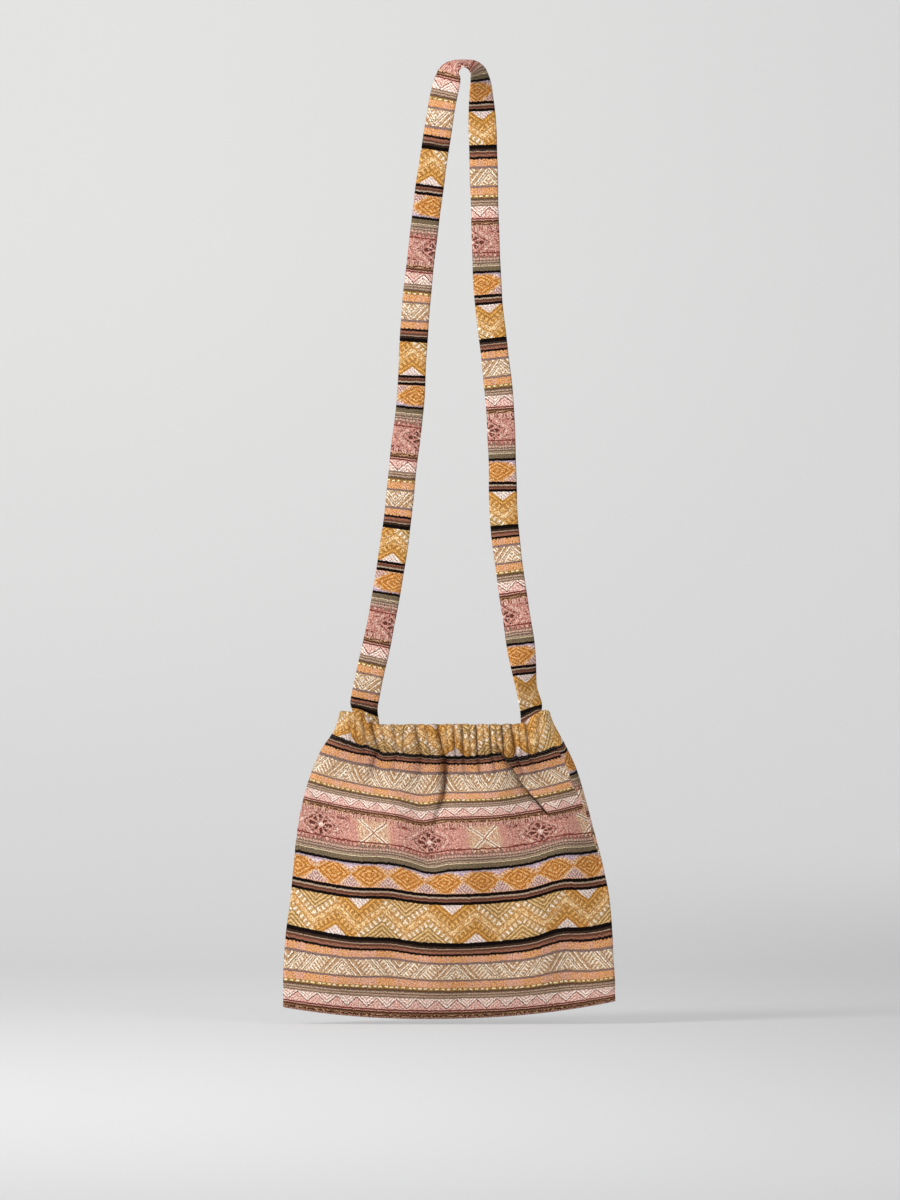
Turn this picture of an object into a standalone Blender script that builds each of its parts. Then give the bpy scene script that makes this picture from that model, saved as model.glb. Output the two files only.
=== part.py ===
"""Gathered cloth shoulder bag with a flat strap, hung by the strap from a peg. Metres, +Z up."""

import math

import bpy
import numpy as np

# Bag, measured on the outside. The origin is where the strap bears on its peg.
MOUTH_WIDTH = 0.176
BOTTOM_WIDTH = 0.283
BAG_HEIGHT = 0.2482
MOUTH_DEPTH = 0.049
BELLY_DEPTH = 0.058
FOLD_DEPTH = 0.006
CLOTH = 0.0012
MOUTH_SAG = 0.0112
ROW_SAG = 0.0136
MOUTH_CENTRE_X = -0.0174
BOTTOM_CENTRE_X = -0.0123
SIDE_RADIUS = 0.012
# How much higher a row's left end lies at the stitches, and how far rows bow up above the bottom.
ROW_LEAN = 0.0026
ROW_LIFT = 0.009
# Casing: the turned-over top with its elastic inside.
ELASTIC_HEIGHT = 0.0155
ELASTIC = 0.001
FOLD_RISE = 0.004
STITCH_ROOM = 0.0052
HEM_OVERLAP = 0.005
GATHERS = 28
PUFF = 0.0042
INNER_PUFF = 0.0020
STITCH_WAVE = 0.0017
# Strap.
STRAP_WIDTH = 0.023
STRAP = 0.0024
STRAP_DROP = 0.5466
STRAP_END = 0.031
PEG = 0.0076
# Air left between two pieces that touch.
GAP = 0.0003
THREAD = 0.0003

MOUTH_TOP = -STRAP_DROP
BOTTOM = MOUTH_TOP - BAG_HEIGHT
ELASTIC_TOP = FOLD_RISE + 0.67 * CLOTH
CASING = ELASTIC_TOP + ELASTIC_HEIGHT + STITCH_ROOM
ELASTIC_FOOT = ELASTIC_TOP + ELASTIC_HEIGHT
PANEL = 1.016 * BAG_HEIGHT
WALL_CLEAR = ELASTIC / 2 + 1.33 * GAP + CLOTH / 2
FINE = 4 * GATHERS
COARSE = 2 * GATHERS


def ease(x):
    """0 below 0, 1 above 1, smooth between."""
    x = np.clip(x, 0.0, 1.0)
    return x * x * (3.0 - 2.0 * x)


def clear_scene():
    for obj in list(bpy.data.objects):
        bpy.data.objects.remove(obj, do_unlink=True)


def cloth_material(name, colour, roughness):
    material = bpy.data.materials.new(name)
    material.use_nodes = True
    shader = material.node_tree.nodes["Principled BSDF"]
    shader.inputs["Base Color"].default_value = (*colour, 1.0)
    shader.inputs["Roughness"].default_value = roughness
    shader.inputs["Metallic"].default_value = 0.0
    return material


def add_object(name, points, faces, material):
    mesh = bpy.data.meshes.new(name)
    mesh.from_pydata([tuple(map(float, p)) for p in points], [], [tuple(map(int, f)) for f in faces])
    mesh.materials.append(material)
    for polygon in mesh.polygons:
        polygon.use_smooth = True
    mesh.update()
    obj = bpy.data.objects.new(name, mesh)
    bpy.context.scene.collection.objects.link(obj)
    return obj


def vertex_normals(points, faces):
    normals = np.zeros_like(points)
    for face in faces:
        corners = points[list(face)]
        turn = np.cross(corners[2] - corners[0], corners[-1] - corners[1])
        for index in face:
            normals[index] += turn
    return normals / np.linalg.norm(normals, axis=1)[:, None]


def thicken(points, faces, thickness, rounded=0.0):
    """A closed solid around a sheet. Its open edges get a rim, pushed out by rounded."""
    normals = vertex_normals(points, faces)
    count = len(points)
    solid = [points + normals * thickness / 2, points - normals * thickness / 2]
    made = [tuple(face) for face in faces]
    made += [tuple(index + count for index in reversed(face)) for face in faces]
    edges = {}
    for face in faces:
        for a, b in zip(face, face[1:] + face[:1]):
            edges[(a, b)] = (a, b)
    rim = [edge for edge in edges if (edge[1], edge[0]) not in edges]
    if rounded == 0.0:
        made += [(b, a, a + count, b + count) for a, b in rim]
        return np.concatenate(solid), made
    away = {}
    for a, b in rim:
        out = np.cross(points[b] - points[a], normals[a] + normals[b])
        out /= np.linalg.norm(out)
        for index in (a, b):
            away[index] = away.get(index, 0) + out
    middle = {}
    extra = []
    for index, out in away.items():
        middle[index] = 2 * count + len(extra)
        extra.append(points[index] + out / np.linalg.norm(out) * rounded)
    solid.append(np.array(extra))
    for a, b in rim:
        made.append((b, a, middle[a], middle[b]))
        made.append((middle[b], middle[a], a + count, b + count))
    return np.concatenate(solid), made


def grid_faces(rows, columns, closed=False, first=0):
    """Faces of a grid whose rows run down and whose columns run to the right, seen from outside."""
    faces = []
    for i in range(rows - 1):
        for j in range(columns if closed else columns - 1):
            a = first + i * columns + j
            b = first + i * columns + (j + 1) % columns
            faces.append((a, a + columns, b + columns, b))
    return faces


def tube(path, radius, sides=4):
    """A closed loop of round thread along the points of path."""
    path = np.asarray(path)
    along = np.roll(path, -1, axis=0) - np.roll(path, 1, axis=0)
    along /= np.linalg.norm(along, axis=1)[:, None]
    across = np.cross(along, np.array([0.13, 0.21, 0.97]))
    across /= np.linalg.norm(across, axis=1)[:, None]
    third = np.cross(along, across)
    rings = []
    for side in range(sides):
        turn = 2 * math.pi * side / sides
        rings.append(path + radius * (math.cos(turn) * across + math.sin(turn) * third))
    points = np.stack(rings, axis=1).reshape(-1, 3)
    count = len(path)
    faces = []
    for i in range(count):
        for side in range(sides):
            a = i * sides + side
            b = i * sides + (side + 1) % sides
            c = (i + 1) % count * sides + (side + 1) % sides
            d = (i + 1) % count * sides + side
            faces.append((a, b, c, d))
    return points, faces


def below_stitches(down):
    """0 at the casing's stitches and 1 at the bottom fold, for a distance down the cloth."""
    return min(max((down - CASING) / (PANEL - CASING), 0.0), 1.0)


def side_heights(down):
    """Heights of a row's left and right ends."""
    at_stitches = MOUTH_TOP - CASING * 0.933
    if down <= CASING:
        part = down / CASING
        middle = MOUTH_TOP + (at_stitches - MOUTH_TOP) * part
        return middle + ROW_LEAN * part, middle - ROW_LEAN * part
    part = below_stitches(down)
    middle = at_stitches + (BOTTOM - at_stitches) * part
    middle += ROW_LIFT * math.sin(math.pi * min(part / 0.8, 1.0))
    lean = ROW_LEAN * (1.0 - 2.0 * part)
    return middle + lean, middle - lean


def outer_half_width(height):
    """Half of the bag's width at a height, from the mouth's to the bottom's."""
    part = min(max((MOUTH_TOP - height) / BAG_HEIGHT, 0.0), 1.0)
    grow = 1.0 - (1.0 - part) ** 2.4
    return MOUTH_WIDTH / 2 + (BOTTOM_WIDTH - MOUTH_WIDTH) / 2 * grow


def centre_x(height):
    part = min(max((MOUTH_TOP - height) / BAG_HEIGHT, 0.0), 1.0)
    return MOUTH_CENTRE_X + (BOTTOM_CENTRE_X - MOUTH_CENTRE_X) * part


def half_depth(down):
    """Half of the bag's depth at its middle, to the middle of the cloth."""
    mouth = MOUTH_DEPTH / 2 - WALL_CLEAR - 1.25 * CLOTH
    belly = (BELLY_DEPTH - CLOTH) / 2
    fold = (FOLD_DEPTH - CLOTH) / 2
    part = below_stitches(down)
    if part < 0.45:
        return mouth + (belly - mouth) * float(ease(part / 0.45))
    rest = (part - 0.45) / 0.55
    return fold + (belly - fold) * (1.0 - rest**2.3) ** 0.85


def end_radius(down):
    """Radius of the bag's side edge, seen from above."""
    fold = (FOLD_DEPTH - CLOTH) / 2
    return fold + (SIDE_RADIUS - fold) * (1.0 - float(ease(below_stitches(down) / 0.4)))


def ring(down, count):
    """Points, outward directions and place across, -1 to 1, of a row around the bag.

    The row starts at the left side, runs along the front, and comes back along the back.
    """
    left, right = side_heights(down)
    height = (left + right) / 2
    walls = WALL_CLEAR + 1.33 * GAP
    spare = CLOTH / 2 + walls * (1.0 - float(ease((down - CASING) / (0.8 * CASING))))
    width = outer_half_width(height) - spare
    radius = end_radius(down)
    reach = width - radius
    bulge = half_depth(down) - radius
    s = np.linspace(-1.0, 1.0, 161)
    slope = 2 * bulge * s / reach
    facing = np.arctan2(-np.ones_like(slope), slope) + 2 * math.pi
    start = np.linspace(math.pi, facing[0], 24)[:-1]
    end = np.linspace(facing[-1], 2 * math.pi, 24)[1:]
    angle = np.concatenate([start, facing, end])
    x = np.concatenate([np.full(23, -reach), reach * s, np.full(23, reach)])
    y = np.concatenate([np.zeros(23), -bulge * (1 - s**2), np.zeros(23)])
    x = x + radius * np.cos(angle)
    y = y + radius * np.sin(angle)
    length = np.concatenate([[0.0], np.cumsum(np.hypot(np.diff(x), np.diff(y)))])
    wanted = np.linspace(0.0, length[-1], count // 2 + 1)
    front_x = np.interp(wanted, length, x)
    front_y = np.interp(wanted, length, y)
    front_angle = np.interp(wanted, length, angle)
    row_x = np.concatenate([front_x, front_x[-2:0:-1]])
    row_y = np.concatenate([front_y, -front_y[-2:0:-1]])
    row_angle = np.concatenate([front_angle, -front_angle[-2:0:-1]])
    out = np.stack([np.cos(row_angle), np.sin(row_angle), np.zeros(count)], axis=1)
    across = row_x / width
    sag = MOUTH_SAG + (ROW_SAG - MOUTH_SAG) * min(down / CASING, 1.0)
    z = left * (1 - across) / 2 + right * (1 + across) / 2 - sag * (1 - across**2)
    points = np.stack([row_x + centre_x(height), row_y, z], axis=1)
    return points, out, across


def gathers(count):
    """How far each column stands out in the gathers, -1 to 1, and 0 by the ends of the strap."""
    place = np.arange(count) / count
    wave = np.cos(2 * math.pi * GATHERS * place)
    from_side = np.minimum(np.abs(((place + 0.25) % 0.5) - 0.25), 0.25)
    calm = ease((from_side - 0.045) / 0.05)
    behind_left = (place > 0.85) & (place < 0.99)
    calm = np.where(behind_left, ease((0.885 - place) / 0.03), calm)
    before_right = (place > 0.38) & (place < 0.5)
    calm = np.where(before_right, ease((0.418 - place) / 0.03), calm)
    uneven = 0.8 + 0.2 * np.sin(41.0 * place + 1.3) * np.cos(17.0 * place)
    return wave, calm * uneven


def outer_offset(down, count):
    """Distance from the elastic's middle out to the outer wall of the casing or of the bag."""
    wave, strength = gathers(count)
    raised = (0.5 + 0.5 * wave) * strength
    if down < CASING - STITCH_ROOM / 2:
        swell = 1.0 - 1.1 * (down / CASING - 0.5) ** 2
        return WALL_CLEAR + PUFF * raised * swell
    below = (down - CASING) / CASING
    fade = 1.0 - float(ease(below / 1.65))
    rest = (CLOTH + GAP) * 0.57 * (1.0 - float(ease(below / 0.8)))
    return rest + STITCH_WAVE * wave * strength * fade


def inner_offset(down, count):
    """Distance from the elastic's middle in to the casing's inner wall."""
    wave, strength = gathers(count)
    return WALL_CLEAR + INNER_PUFF * (0.5 + 0.5 * wave) * strength


def fold_depths(points, out, across, down):
    """The lengthwise dent below the mouth's middle and the pleat right of it, both in front."""
    below = (down - CASING) / (PANEL - CASING)
    front = out[:, 1] < -0.5
    from_middle = points[:, 0] - MOUTH_CENTRE_X
    dent_x = MOUTH_WIDTH * (0.045 * float(ease((below - 0.35) / 0.2)) - 0.057 * float(ease((below - 0.13) / 0.18)))
    dent = np.exp(-(((from_middle - dent_x) / (0.051 * MOUTH_WIDTH)) ** 2))
    dent *= -0.073 * MOUTH_DEPTH * float(ease(below / 0.09)) * (1.0 - float(ease((below - 0.37) / 0.22)))
    pleat_x = MOUTH_WIDTH * (0.303 + 0.8 * below)
    pleat = np.exp(-(((from_middle - pleat_x) / (0.045 * MOUTH_WIDTH)) ** 2))
    pleat *= 0.061 * MOUTH_DEPTH * float(ease(below / 0.045)) * (1.0 - float(ease((below - 0.15) / 0.11)))
    return np.where(front, dent + pleat, 0.0)


def casing_rows():
    """The turned-over top: up the inner wall from the hem's edge, over the fold, down to the stitches."""
    rows = []
    for down in (CASING + HEM_OVERLAP, CASING):
        points, out, _ = ring(down, FINE)
        inside = outer_offset(down, FINE) - CLOTH - 1.83 * GAP
        rows.append(points + out * inside[:, None])
    heights = (FOLD_RISE, (FOLD_RISE + ELASTIC_FOOT) / 2, ELASTIC_FOOT)
    for down in reversed(heights):
        points, out, _ = ring(down, FINE)
        rows.append(points - out * inner_offset(down, FINE)[:, None])
    outer = outer_offset(FOLD_RISE, FINE)
    inner = inner_offset(FOLD_RISE, FINE)
    middle = (outer - inner) / 2
    half = (outer + inner) / 2
    for turn in (-40, 0, 40):
        rise = math.cos(math.radians(turn * 1.25))
        down = FOLD_RISE * (1 - rise)
        points, out, _ = ring(down, FINE)
        step = middle + half * math.sin(math.radians(turn * 1.25))
        rows.append(points + out * step[:, None])
    for down in (*heights, CASING):
        points, out, _ = ring(down, FINE)
        rows.append(points + out * outer_offset(down, FINE)[:, None])
    return rows


def wall_row(down, count):
    points, out, across = ring(down, count)
    step = outer_offset(down, count) + fold_depths(points, out, across, down)
    return points + out * step[:, None]


def bag_sheet():
    """The middle of the bag's cloth: casing, two walls, and the fold that joins them at the bottom."""
    rows = casing_rows()
    rows += [wall_row(CASING * (1.0 + below), FINE) for below in (0.16, 0.35, 0.59)]
    fine_rows = len(rows)
    points = [np.concatenate(rows)]
    faces = grid_faces(fine_rows, FINE, closed=True)
    body = PANEL - CASING
    parts = (0.1, 0.15, 0.21, 0.28, 0.36, 0.45, 0.55, 0.65, 0.74, 0.82, 0.89, 0.95, 0.985)
    coarse = [wall_row(CASING + body * part, COARSE) for part in parts]
    start = fine_rows * FINE
    last = start - FINE
    for m in range(COARSE):
        a, middle, b = last + 2 * m, last + 2 * m + 1, last + (2 * m + 2) % FINE
        d, c = start + m, start + (m + 1) % COARSE
        faces += [(a, d, middle), (middle, d, c), (middle, c, b)]
    faces += grid_faces(len(coarse), COARSE, closed=True, first=start)
    points += coarse
    bottom = start + len(coarse) * COARSE
    above = bottom - COARSE
    half = COARSE // 2
    edge, _, _ = ring(PANEL, COARSE)
    line = edge[: half + 1].copy()
    line[:, 1] = 0.0
    points.append(line)
    for j in range(half):
        faces.append((above + j, bottom + j, bottom + j + 1, above + j + 1))
        back = (above + (COARSE - j) % COARSE, above + COARSE - j - 1)
        faces.append((back[1], bottom + j + 1, bottom + j, back[0]))
    return np.concatenate(points), faces


def make_bag():
    points, faces = bag_sheet()
    solid, made = thicken(points, faces, CLOTH)
    cloth = cloth_material("bag_body", (0.58, 0.36, 0.24), 0.85)
    add_object("bag_body", solid, made, cloth)


def make_elastic():
    rows = [ring(down, FINE)[0] for down in (ELASTIC_TOP, ELASTIC_FOOT)]
    solid, made = thicken(np.concatenate(rows), grid_faces(2, FINE, closed=True), ELASTIC)
    add_object("elastic_band", solid, made, cloth_material("elastic_band", (0.8, 0.79, 0.76), 0.8))


def make_casing_stitching():
    sheet, faces = bag_sheet()
    normals = vertex_normals(sheet, faces)
    row = slice(11 * FINE, 12 * FINE)
    path = sheet[row] + normals[row] * (CLOTH / 2 + GAP + THREAD)
    points, made = tube(path, THREAD)
    add_object("casing_stitching", points, made, cloth_material("casing_stitching", (0.02, 0.016, 0.014), 0.7))


# The strap's turn about its own length, in degrees, at angles around the peg from left to right.
LOOP_TURNS = ((0, 25), (30, 40), (55, 60), (90, 73), (125, 62), (150, 54), (180, 46))
# Each leg from the peg down: share of the way to the mouth, drift to the right as a share of the
# strap's drop, and turn in degrees.
LEFT_LEG = (
    (0.01, 0.0, 21),
    (0.055, -0.003, 12),
    (0.18, -0.005, 0),
    (0.31, -0.003, 0),
    (0.44, 0.004, 0),
    (0.565, 0.010, 0),
    (0.695, 0.013, 0),
    (0.82, 0.011, 0),
    (0.945, 0.001, -6),
)
RIGHT_LEG = (
    (0.01, 0.0, 36),
    (0.055, -0.003, 8),
    (0.18, -0.009, 0),
    (0.31, -0.015, 0),
    (0.44, -0.011, 0),
    (0.565, -0.013, 0),
    (0.695, -0.020, 0),
    (0.82, -0.013, 0),
    (0.885, -0.009, 14),
    (0.945, -0.006, 42),
)
LEFT_END_PLACE = 0.9285
RIGHT_END_PLACE = 0.4590
ACROSS = (-1.0, -0.5, 0.0, 0.5, 1.0)
STRAP_INSIDE = WALL_CLEAR + CLOTH / 2 + 2 * GAP + STRAP / 2
# How far below the mouth's edge the rows of the sewn ends lie, as shares of STRAP_END.
END_ROWS = (1.0, 0.75, 0.45, 0.2)


def distance(a, b):
    """Distance between two rows of x, y, z and turn, with the turn left out."""
    return np.linalg.norm(b[:3] - a[:3])


def smooth_run(keys, steps):
    """A smooth curve through rows of x, y, z and turn, with steps points on each stretch."""
    keys = np.array(keys, float)
    padded = np.concatenate([[2 * keys[0] - keys[1]], keys, [2 * keys[-1] - keys[-2]]])
    made = []
    for i in range(1, len(padded) - 2):
        before, start, end, after = padded[i - 1 : i + 3]
        count = steps[i - 1]
        for step in range(count):
            t = step / count
            span = distance(start, end)
            first = (end - before) * span / (span + distance(before, start))
            second = (after - start) * span / (span + distance(end, after))
            made.append(
                start * (1 + 2 * t) * (1 - t) ** 2
                + first * t * (1 - t) ** 2
                + end * t * t * (3 - 2 * t)
                + second * t * t * (t - 1)
            )
    made.append(padded[-2])
    return np.array(made)


def wall_place(place, down, inside):
    """A point at a distance inside the casing's inner wall, at a place around the ring from 0 to 1."""
    points, out, _ = ring(down, 720)
    at = place * 720 % 720
    low = int(at)
    part = at - low
    point = points[low] * (1 - part) + points[(low + 1) % 720] * part
    facing = out[low] * (1 - part) + out[(low + 1) % 720] * part
    return point - facing / np.linalg.norm(facing) * inside


def around(down):
    """Length of the row around the bag at a distance down the cloth."""
    points, _, _ = ring(down, 720)
    return np.linalg.norm(np.roll(points, -1, axis=0) - points, axis=1).sum()


def end_row(place, down, inside, across, sign):
    """Points across the strap where it lies on the casing's inner wall."""
    length = around(down)
    spots = [place + sign * across_part * STRAP_WIDTH / 2 / length for across_part in across]
    return np.array([wall_place(spot, down, inside) for spot in spots])


def loop_keys():
    """The strap's middle over the peg, left to right, with its turn."""
    top = STRAP_WIDTH / 2 * math.cos(math.radians(LOOP_TURNS[3][1])) + STRAP / 2
    low = -0.39 * STRAP_WIDTH
    reach = PEG / 2 + 0.45 * STRAP_WIDTH
    keys = []
    for angle, turn in LOOP_TURNS:
        swing = math.radians(angle)
        x = -reach * math.cos(swing)
        z = low + (top - low) * math.sin(swing)
        keys.append((x, 0.0, z, turn))
    return keys


def leg_keys(start, end, leg, depth):
    """The strap's middle from the peg to just above the mouth, with its turn.

    depth is the share of the sewn end's depth that the free leg reaches.
    """
    keys = []
    for share, drift, turn in leg:
        point = start + (end - start) * share
        keys.append((point[0] + drift * STRAP_DROP, point[1] * depth, point[2], turn))
    return keys


def strap_rows():
    """Rows of points across the strap, along its whole length."""
    downs = [share * STRAP_END for share in END_ROWS]
    left = [end_row(LEFT_END_PLACE, down, STRAP_INSIDE, ACROSS, -1) for down in downs]
    right = [end_row(RIGHT_END_PLACE, down, STRAP_INSIDE, ACROSS, -1) for down in downs]
    loop = loop_keys()
    left_leg = leg_keys(np.array(loop[0][:3]), left[-1][2], LEFT_LEG, 0.9)
    right_leg = leg_keys(np.array(loop[-1][:3]), right[-1][2], RIGHT_LEG, 0.4)
    keys = left_leg[::-1] + loop + right_leg
    steps = [3] * (len(left_leg) - 2) + [2] * (len(loop) + 3) + [3] * (len(right_leg) - 2)
    run = smooth_run(keys, steps)
    middle = run[:, :3]
    turn = np.radians(run[:, 3])
    along = np.gradient(middle, axis=0)
    flat = along * np.array([1.0, 0.0, 1.0])
    flat /= np.linalg.norm(flat, axis=1)[:, None]
    inward = np.stack([flat[:, 2], np.zeros(len(flat)), -flat[:, 0]], axis=1)
    across = inward * np.cos(turn)[:, None] - np.array([0.0, 1.0, 0.0]) * np.sin(turn)[:, None]
    rows = [middle[i] + np.outer(ACROSS, across[i]) * STRAP_WIDTH / 2 for i in range(len(run))]
    before = joining_rows(left[-1], left[-2], rows[0], rows[1])
    after = joining_rows(right[-1], right[-2], rows[-1], rows[-2])
    return left + before + rows + after[::-1] + right[::-1]


def joining_rows(wall, wall_below, free, free_above):
    """Rows that carry the strap smoothly from the casing's wall into its free leg."""
    rise = (free - wall)[:, 2].mean()
    first = (wall - wall_below) / (wall - wall_below)[:, 2].mean() * rise
    second = (free_above - free) / (free_above - free)[:, 2].mean() * rise
    made = []
    for t in (0.25, 0.5, 0.75):
        made.append(
            wall * (1 + 2 * t) * (1 - t) ** 2
            + first * t * (1 - t) ** 2
            + free * t * t * (3 - 2 * t)
            + second * t * t * (t - 1)
        )
    return made


def make_strap():
    rows = strap_rows()
    points = np.concatenate(rows)
    faces = [tuple(reversed(face)) for face in grid_faces(len(rows), len(ACROSS))]
    solid, made = thicken(points, faces, STRAP, rounded=0.375 * STRAP)
    add_object("shoulder_strap", solid, made, cloth_material("shoulder_strap", (0.56, 0.35, 0.24), 0.85))


def make_tack(name, place):
    """A rectangle of thread that holds one end of the strap to the casing."""
    inside = STRAP_INSIDE + STRAP / 2 + 1.33 * GAP + THREAD
    top, foot = END_ROWS[2] * STRAP_END, END_ROWS[1] * STRAP_END
    path = list(end_row(place, top, inside, (-0.5, 0.0, 0.5), -1))
    path += list(end_row(place, foot, inside, (0.5, 0.0, -0.5), -1))
    points, made = tube(path, THREAD)
    add_object(name, points, made, cloth_material(name, (0.32, 0.2, 0.1), 0.7))


def main():
    clear_scene()
    make_bag()
    make_elastic()
    make_casing_stitching()
    make_strap()
    make_tack("left_strap_tack", LEFT_END_PLACE)
    make_tack("right_strap_tack", RIGHT_END_PLACE)


main()
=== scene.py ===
"""The looks of a gathered cloth shoulder bag that hangs by its strap. Metres, +Z up, front towards -Y."""

import functools
import math

import bpy
import numpy as np
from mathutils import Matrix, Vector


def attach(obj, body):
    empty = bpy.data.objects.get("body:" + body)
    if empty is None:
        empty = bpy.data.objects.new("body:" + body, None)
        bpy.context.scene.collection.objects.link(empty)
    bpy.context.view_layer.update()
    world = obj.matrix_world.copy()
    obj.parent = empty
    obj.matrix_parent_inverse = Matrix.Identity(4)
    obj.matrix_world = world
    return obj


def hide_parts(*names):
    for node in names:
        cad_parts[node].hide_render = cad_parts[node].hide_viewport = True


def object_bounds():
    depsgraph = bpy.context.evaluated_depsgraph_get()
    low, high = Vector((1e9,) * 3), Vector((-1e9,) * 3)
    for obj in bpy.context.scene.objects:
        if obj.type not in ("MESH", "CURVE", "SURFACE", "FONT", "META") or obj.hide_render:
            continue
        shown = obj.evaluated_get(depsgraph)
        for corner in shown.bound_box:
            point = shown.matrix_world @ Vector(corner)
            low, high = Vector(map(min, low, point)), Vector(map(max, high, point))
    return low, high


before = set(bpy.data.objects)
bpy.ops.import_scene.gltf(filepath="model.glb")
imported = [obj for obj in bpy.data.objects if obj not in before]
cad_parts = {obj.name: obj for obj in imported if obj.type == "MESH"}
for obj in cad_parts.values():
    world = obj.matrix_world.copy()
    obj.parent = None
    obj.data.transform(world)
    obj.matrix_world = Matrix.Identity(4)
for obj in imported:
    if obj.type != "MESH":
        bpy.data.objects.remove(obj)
cad_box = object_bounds()

# Places on the bag are given on a grid of 0.85 mm that runs right and down. It is also the scale of
# the cloth's pattern: U runs across the cloth from the bag's middle, V down it from the stitches.
GRID = 0.00085
GRID_X = 464.0
GRID_Y = 68.0
# The camera's view, in grid steps.
VIEW_COLUMNS = 900
VIEW_ROWS = 1200

# The bag's outline: grid row, left end, right end.
OUTLINE = (
    (700, 342, 541), (712, 340, 547), (730, 334, 557), (750, 321, 568), (770, 312, 577),
    (800, 303, 586), (830, 298, 594), (860, 294, 602), (900, 290, 610), (940, 285, 613),
    (980, 283, 614.5), (1006, 283, 616),
)
# Rows of the cloth: V, grid row at the left side, in the middle and at the right side, and how
# square the row's curve is.
ROWS = (
    (-30, 711, 724.5, 710, 6.0), (0, 734, 755.5, 741, 2.9), (12, 743.3, 763, 751, 2.6),
    (34, 766.8, 787.4, 771.4, 2.35), (75, 801, 820.5, 806, 2.0), (123.5, 850.5, 869.0, 851, 2.0),
    (155, 886, 903.0, 885, 2.0), (192.5, 927, 945.0, 925, 2.0), (238.7, 979, 988.8, 978, 2.0),
    (268.5, 1007, 1018.5, 1001, 2.2),
)
# On the cloth, in grid steps: half its width, V of the bottom fold, the casing's height, V of the
# highest row of its outer wall, the hem's height and the repeat of the pattern.
CLOTH_HALF = 166.5
FOLD_V = 268.5
CASING_V = 30.0
TOP_V = -25.0
HEM_V = 12.0
REPEAT = 190.0
# Thicknesses and widths in metres. WALL_CLEAR is from the row's ring to each wall of the casing, and
# the puffs are how far the gathers swell out and in from there.
CLOTH = 0.0012
STRAP = 0.0024
STRAP_WIDTH = 0.0219
WALL_CLEAR = 0.0015
PUFF = 0.0052
INNER_PUFF = 0.0018
LAID_ON = 0.0006
# Columns of faces round the bag.
COLUMNS = 448

# Creases in the front of the gathers: grid column at the top, at the stitches, depth from 0 to 1,
# and how far down the cloth each one fades.
CREASES = (
    (347, 344, 0.45, 10), (352, 351, 0.6, 12), (357, 357, 0.5, 12), (363, 367, 0.7, 18),
    (371, 379, 1.0, 34), (382, 388, 0.55, 14), (394, 398, 0.7, 20), (405, 403, 0.6, 12),
    (415, 422, 0.9, 26), (426, 430, 0.6, 14), (437, 444.5, 1.0, 52), (446, 449, 0.5, 12),
    (453, 455, 0.8, 18), (462, 463, 0.9, 22), (469, 470.5, 0.6, 14), (475.5, 477, 1.0, 24),
    (483, 484, 0.55, 12), (489, 491, 0.9, 22), (495, 497, 0.65, 12), (500.5, 503, 1.0, 14),
    (510, 516, 1.0, 24), (517, 521, 0.55, 12), (524, 528, 0.7, 18), (538, 537, 0.5, 12),
    (549, 550, 0.4, 12),
)


def ease(x):
    """0 below 0, 1 above 1, smooth between."""
    x = np.clip(x, 0.0, 1.0)
    return x * x * (3.0 - 2.0 * x)


def rise(v, start, length):
    """Fades in from 0 at V start to 1 after a length."""
    return float(ease((v - start) / length))


def fall(v, start, length):
    return 1.0 - rise(v, start, length)


def bump(x, middle, width):
    """A hill of height 1."""
    return np.exp(-(((x - middle) / width) ** 2))


def grid_x(column):
    return (column - GRID_X) * GRID


def grid_z(row):
    return (GRID_Y - row) * GRID


def cubic(start, end, leave, arrive, t):
    """From start to end as t runs from 0 to 1, with its slopes at both ends."""
    return (
        start * (1 + 2 * t) * (1 - t) ** 2
        + leave * t * (1 - t) ** 2
        + end * t * t * (3 - 2 * t)
        + arrive * t * t * (t - 1)
    )


def through(place, values, slopes, at):
    """Values at some places on smooth curves through keys with known slopes."""
    i = np.clip(np.searchsorted(place, at, side="right") - 1, 0, len(place) - 2)
    step = (place[i + 1] - place[i])[:, None]
    t = (at - place[i])[:, None] / step
    return cubic(values[i], values[i + 1], slopes[i] * step, slopes[i + 1] * step, t)


def smooth_keys(keys, at):
    """Values at some places from rows of place, value, value, on smooth curves without overshoot."""
    keys = np.array(keys, float)
    place, values = keys[:, 0], keys[:, 1:]
    slopes = np.diff(values, axis=0) / np.diff(place)[:, None]
    first = np.zeros_like(values)
    before, after = slopes[:-1], slopes[1:]
    same = before * after > 0
    first[1:-1] = np.where(same, 2 * before * after / np.where(same, before + after, 1.0), 0.0)
    first[0], first[-1] = slopes[0], slopes[-1]
    at = np.clip(np.atleast_1d(np.asarray(at, float)), place[0], place[-1])
    return through(place, values, first, at)


def linked(name, data):
    """A new object in the scene."""
    obj = bpy.data.objects.new(name, data)
    bpy.context.scene.collection.objects.link(obj)
    return obj


def new_object(name, points, faces, uvs, material):
    mesh = bpy.data.meshes.new(name)
    mesh.from_pydata(np.asarray(points, float).tolist(), [], [tuple(map(int, f)) for f in faces])
    mesh.materials.append(material)
    if uvs is not None:
        layer = mesh.uv_layers.new(name="cloth")
        layer.data.foreach_set("uv", np.asarray(uvs, float).ravel())
    mesh.polygons.foreach_set("use_smooth", [True] * len(mesh.polygons))
    mesh.update()
    return linked(name, mesh)


# Shape of the bag


def half_depth(v):
    """Half of the bag's depth at its middle."""
    part = float(np.clip(v / FOLD_V, 0.0, 1.0))
    mouth, belly, fold, belly_at = 0.0209, 0.0284, 0.0024, 0.45
    if part < belly_at:
        return mouth + (belly - mouth) * rise(part, 0, belly_at)
    rest = (part - belly_at) / (1.0 - belly_at)
    return fold + (belly - fold) * (1.0 - rest**2.3) ** 0.85


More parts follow.
